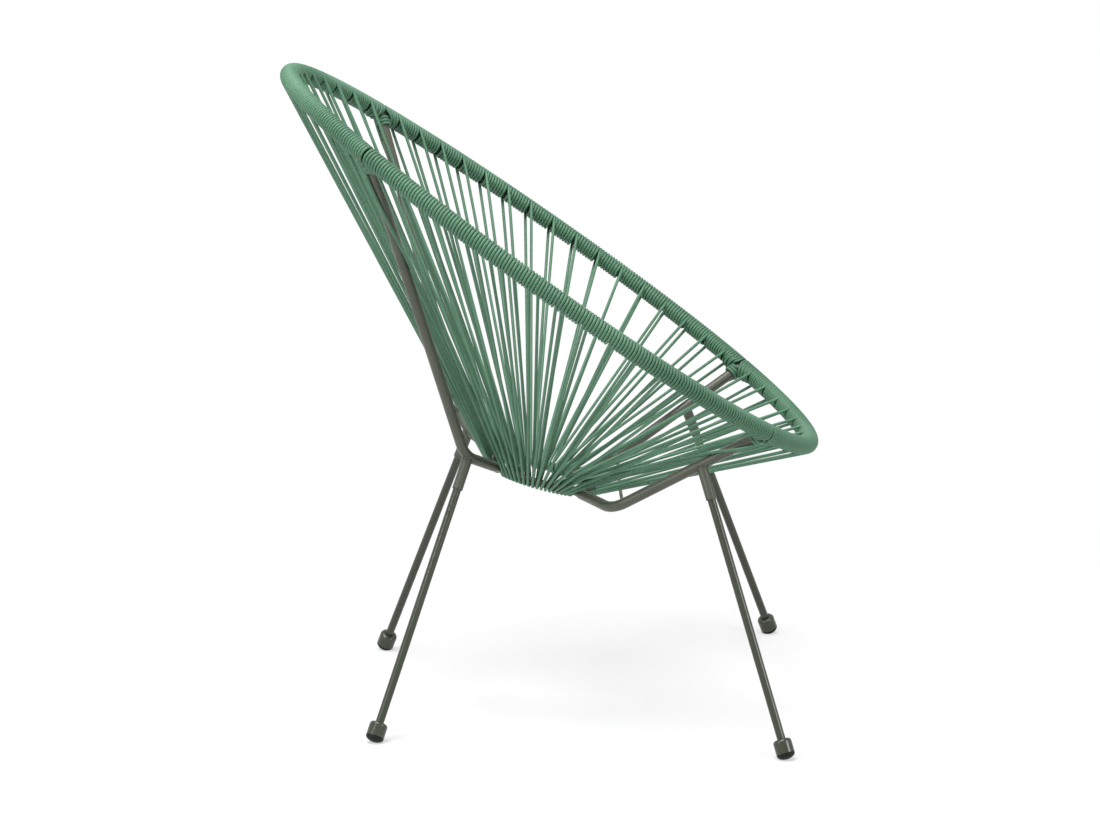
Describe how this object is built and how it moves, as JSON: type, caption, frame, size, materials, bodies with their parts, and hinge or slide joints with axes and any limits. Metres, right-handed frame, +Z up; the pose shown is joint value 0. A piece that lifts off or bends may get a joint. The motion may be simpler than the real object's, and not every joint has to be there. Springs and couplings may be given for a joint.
{
  "type": "acapulco chair",
  "caption": "Low outdoor lounge chair: a tilted round rim wound with plastic cord, a bucket of straight cords meeting at a small ring, and splayed rod legs on rubber feet.",
  "frame": {"origin": "centre of the object's base, on the floor", "axes": "+Z up, -Y to the front of the seat, +X to the sitter's left"},
  "size_m": [0.7248, 0.7091, 0.8506],
  "materials": {
    "cord": "smooth extruded plastic cord, satin gloss",
    "frame": "fine textured powder coat over steel tube",
    "legs": "fine textured powder coat over steel rod",
    "caps": "painted cap in the frame's colour",
    "rubber": "matt black rubber"
  },
  "bodies": {
    "root": {"rim_tube": "frame", "seat_cord_left": "cord", "seat_cord_front": "cord", "seat_cord_right": "cord", "seat_cord_back": "cord", "seat_ring": "frame", "rear_stay_left": "frame", "front_stay_left": "frame", "rear_stay_right": "frame", "front_stay_right": "frame", "lashing_rear_left": "cord", "lashing_front_left": "cord", "lashing_rear_right": "cord", "lashing_front_right": "cord", "rear_tie_rod": "frame", "front_tie_rod": "frame", "leg_socket_rear_left": "legs", "leg_rear_left": "legs", "foot_cap_rear_left": "caps", "foot_pad_rear_left": "rubber", "leg_socket_front_left": "legs", "leg_front_left": "legs", "foot_cap_front_left": "caps", "foot_pad_front_left": "rubber", "leg_socket_rear_right": "legs", "leg_rear_right": "legs", "foot_cap_rear_right": "caps", "foot_pad_rear_right": "rubber", "leg_socket_front_right": "legs", "leg_front_right": "legs", "foot_cap_front_right": "caps", "foot_pad_front_right": "rubber"}
  },
  "joints": []
}
